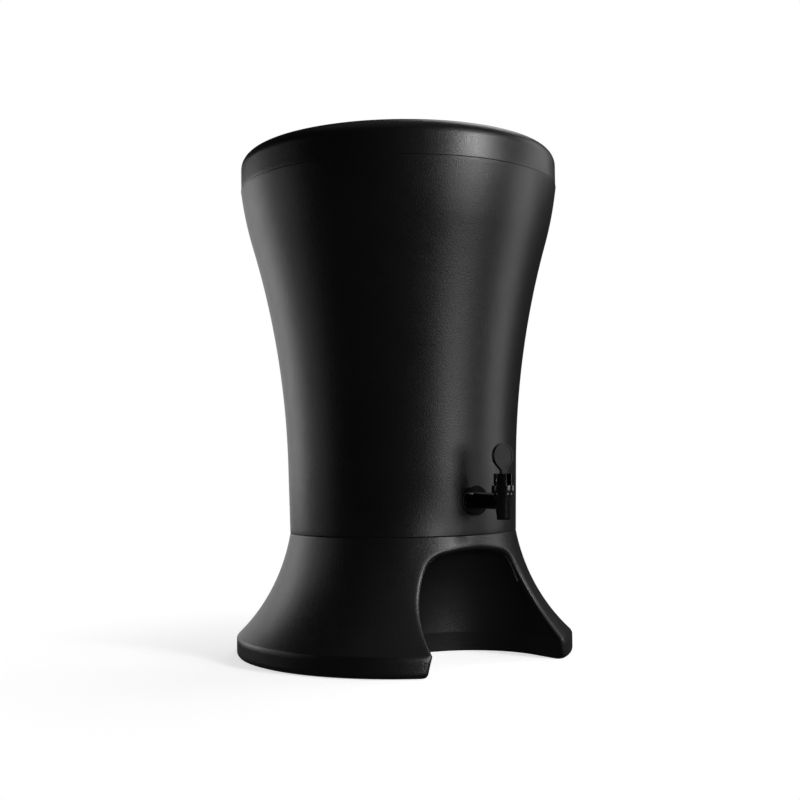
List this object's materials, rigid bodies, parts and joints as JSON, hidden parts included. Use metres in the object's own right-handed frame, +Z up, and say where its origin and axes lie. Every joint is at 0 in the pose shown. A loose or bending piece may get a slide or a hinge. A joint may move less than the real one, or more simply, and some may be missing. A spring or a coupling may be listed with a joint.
{
  "type": "gravity water filter dispenser",
  "caption": "Tulip-shaped plastic water dispenser on a flared stand with an arched niche for a glass, a lift-off lid, a fired-clay filter pot inside and a lever tap",
  "frame": {"origin": "centre of the stand's footprint, on the floor", "axes": "+Z is up, the tap points along -Y, +X is to the right of someone behind the tub"},
  "size_m": [0.376, 0.3751, 0.5648],
  "materials": {
    "stand_black": "fine-grained matte",
    "tub_black": "fine-grained matte",
    "lid_black": "fine-grained matte",
    "fired_clay": "porous unglazed",
    "tap_black": "glossy",
    "lever_black": "glossy",
    "stem_white": "natural",
    "silicone": "soft translucent",
    "pin_steel": "bright"
  },
  "bodies": {
    "stand": {"stand": "stand_black"},
    "tub": {"tub": "tub_black", "tap_body": "tap_black", "tap_bonnet": "tap_black", "seat_cup": "silicone", "lever_pin": "pin_steel", "tap_outer_washer": "silicone", "tap_inner_washer": "silicone", "tap_lock_nut": "tap_black"},
    "filter_pot": {"filter_pot": "fired_clay"},
    "lid": {"lid": "lid_black"},
    "valve_stem": {"valve_stem": "stem_white"},
    "tap_lever": {"tap_lever": "lever_black"}
  },
  "joints": [
    {"name": "tub_lift", "type": "slide", "parent": "stand", "child": "tub", "axis": [0, 0, 1], "range_m": [0, 0.06]},
    {"name": "pot_lift", "type": "slide", "parent": "tub", "child": "filter_pot", "axis": [0, 0, 1], "range_m": [0, 0.26]},
    {"name": "lid_lift", "type": "slide", "parent": "filter_pot", "child": "lid", "axis": [0, 0, 1], "range_m": [0, 0.06]},
    {"name": "lever_hinge", "type": "hinge", "parent": "tub", "child": "tap_lever", "pos_m": [0, -0.175, 0.193], "axis": [1, 0, 0], "range_deg": [0, 32], "stiffness_Nm_per_rad": 0.05},
    {"name": "stem_slide", "type": "slide", "parent": "tub", "child": "valve_stem", "axis": [0, 0, 1], "range_m": [0, 0.0027], "deforming": ["seat_cup"]}
  ],
  "couplings": [
    {"joint": "stem_slide", "follows": "lever_hinge", "m_per_rad": 0.0045}
  ]
}
